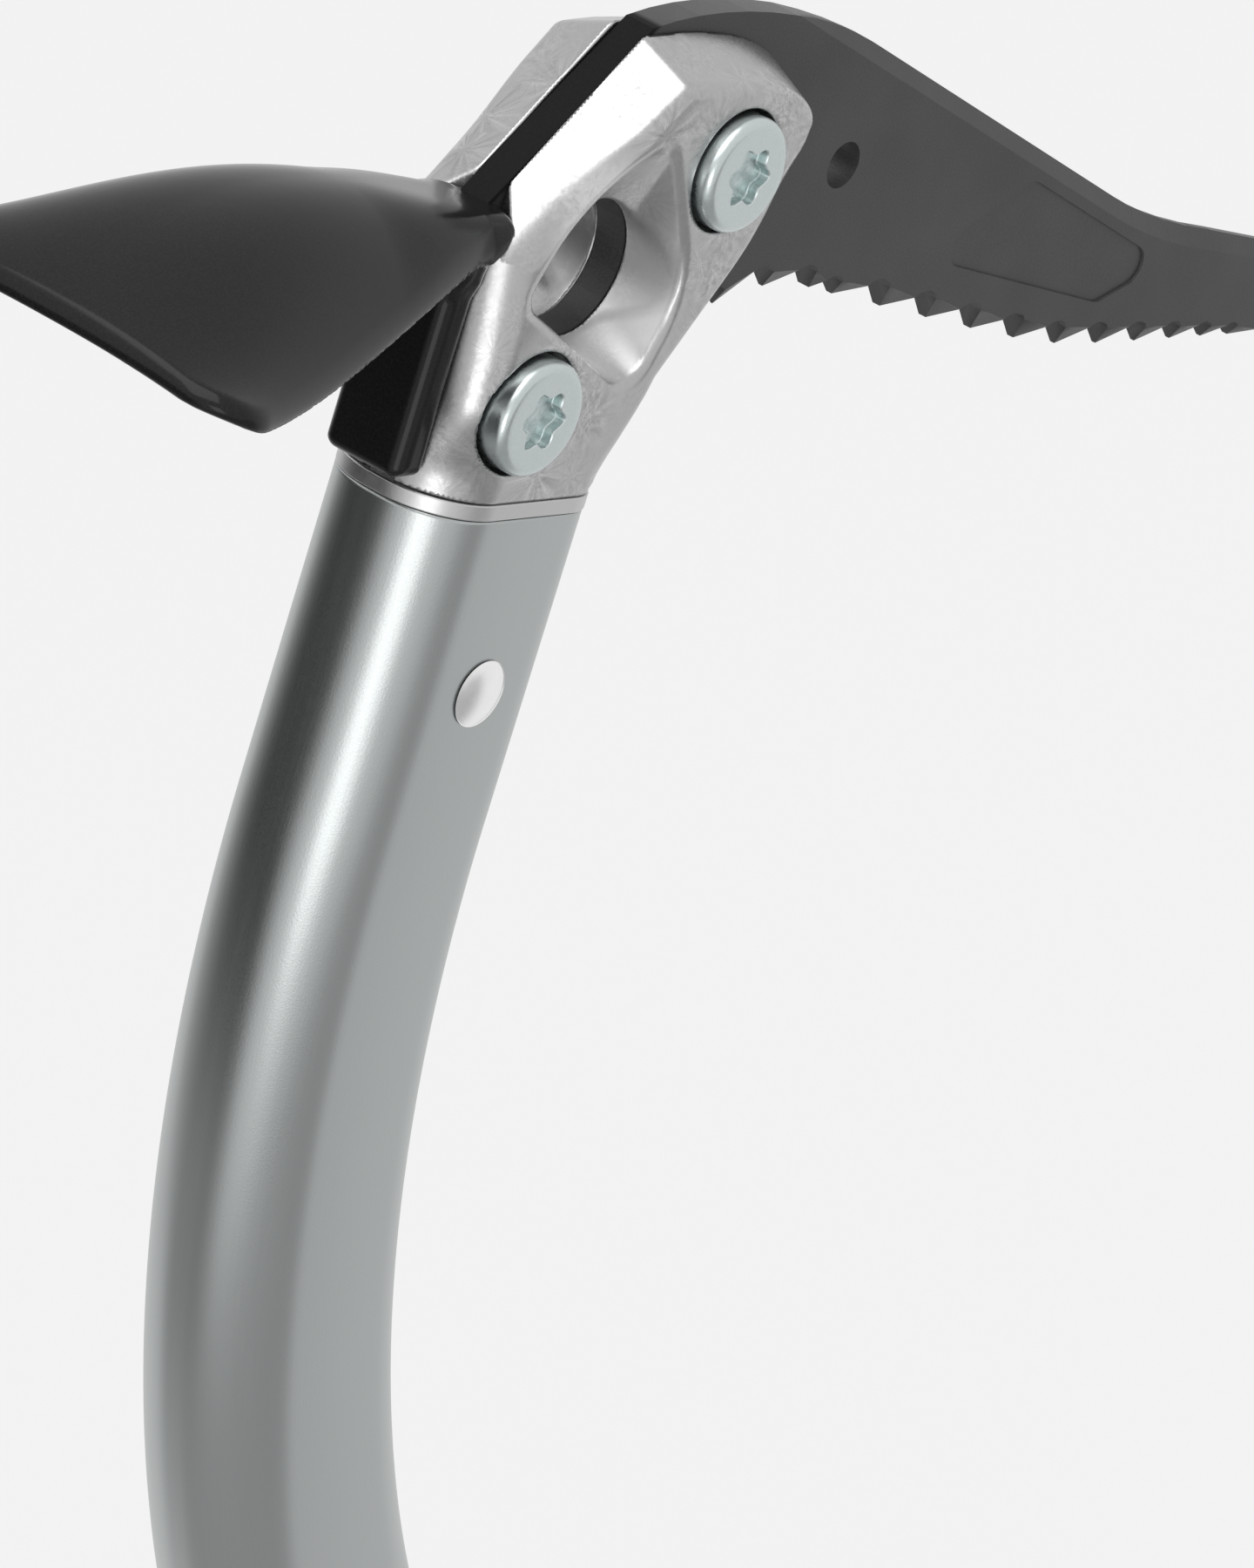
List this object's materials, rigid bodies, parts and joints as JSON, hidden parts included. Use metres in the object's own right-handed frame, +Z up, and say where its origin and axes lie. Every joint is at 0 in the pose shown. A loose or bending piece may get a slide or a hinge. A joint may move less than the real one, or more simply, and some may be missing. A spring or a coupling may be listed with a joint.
{
  "type": "ice climbing tool",
  "caption": "Curved-shaft ice climbing tool with a forged head, toothed pick, adze, rubber grip, sliding finger rest, folding hand rest and spike with a clip-in eye.",
  "frame": {"origin": "centre of the clip-in eye in the spike", "axes": "+Z up the straight grip towards the head, +X the way the pick points, +Y across the tool to its far side"},
  "size_m": [0.2377, 0.056, 0.5388],
  "materials": {
    "anodised_tube": "satin anodised",
    "bright_alloy": "forged, bright, faintly spangled",
    "dark_steel": "dark satin",
    "black_paint": "glossy black",
    "zinc_steel": "zinc plated",
    "polished_steel": "polished",
    "spike_steel": "satin",
    "black_rubber": "matt",
    "grip_rubber": "matt, ribbed",
    "grey_plastic": "fine moulded grain",
    "white_plastic": "smooth"
  },
  "bodies": {
    "tool": {"shaft": "anodised_tube", "shaft_collar": "bright_alloy", "head": "bright_alloy", "pick": "dark_steel", "adze": "black_paint", "upper_bolt": "zinc_steel", "lower_bolt": "zinc_steel", "bolt_washers": "black_rubber", "bolt_nuts": "zinc_steel", "head_rivet": "polished_steel", "grip_core": "grey_plastic", "grip_skin": "grip_rubber", "ferrule": "bright_alloy", "end_plug": "grey_plastic", "spike": "spike_steel", "spike_rivet": "polished_steel", "rest_pin": "polished_steel", "rest_washers": "white_plastic"},
    "rest": {"hand_rest": "grey_plastic", "hand_rest_pad": "grip_rubber"},
    "finger_rest": {"trigger_band": "grey_plastic", "trigger_liner": "white_plastic", "trigger_pad": "grip_rubber", "trigger_shoe": "grey_plastic", "trigger_lever_pin": "polished_steel"},
    "lever": {"trigger_lever": "dark_steel"}
  },
  "joints": [
    {"name": "hand_rest_fold", "type": "hinge", "parent": "tool", "child": "rest", "pos_m": [0.02205, 0, 0.028], "axis": [0, 1, 0], "range_deg": [0, 85]},
    {"name": "finger_rest_slide", "type": "slide", "parent": "tool", "child": "finger_rest", "axis": [0, 0, 1], "range_m": [0, 0.045]},
    {"name": "lock_lever_turn", "type": "hinge", "parent": "finger_rest", "child": "lever", "pos_m": [-0.02305, 0, 0.18145], "axis": [0, -1, 0], "range_deg": [0, 100]}
  ]
}
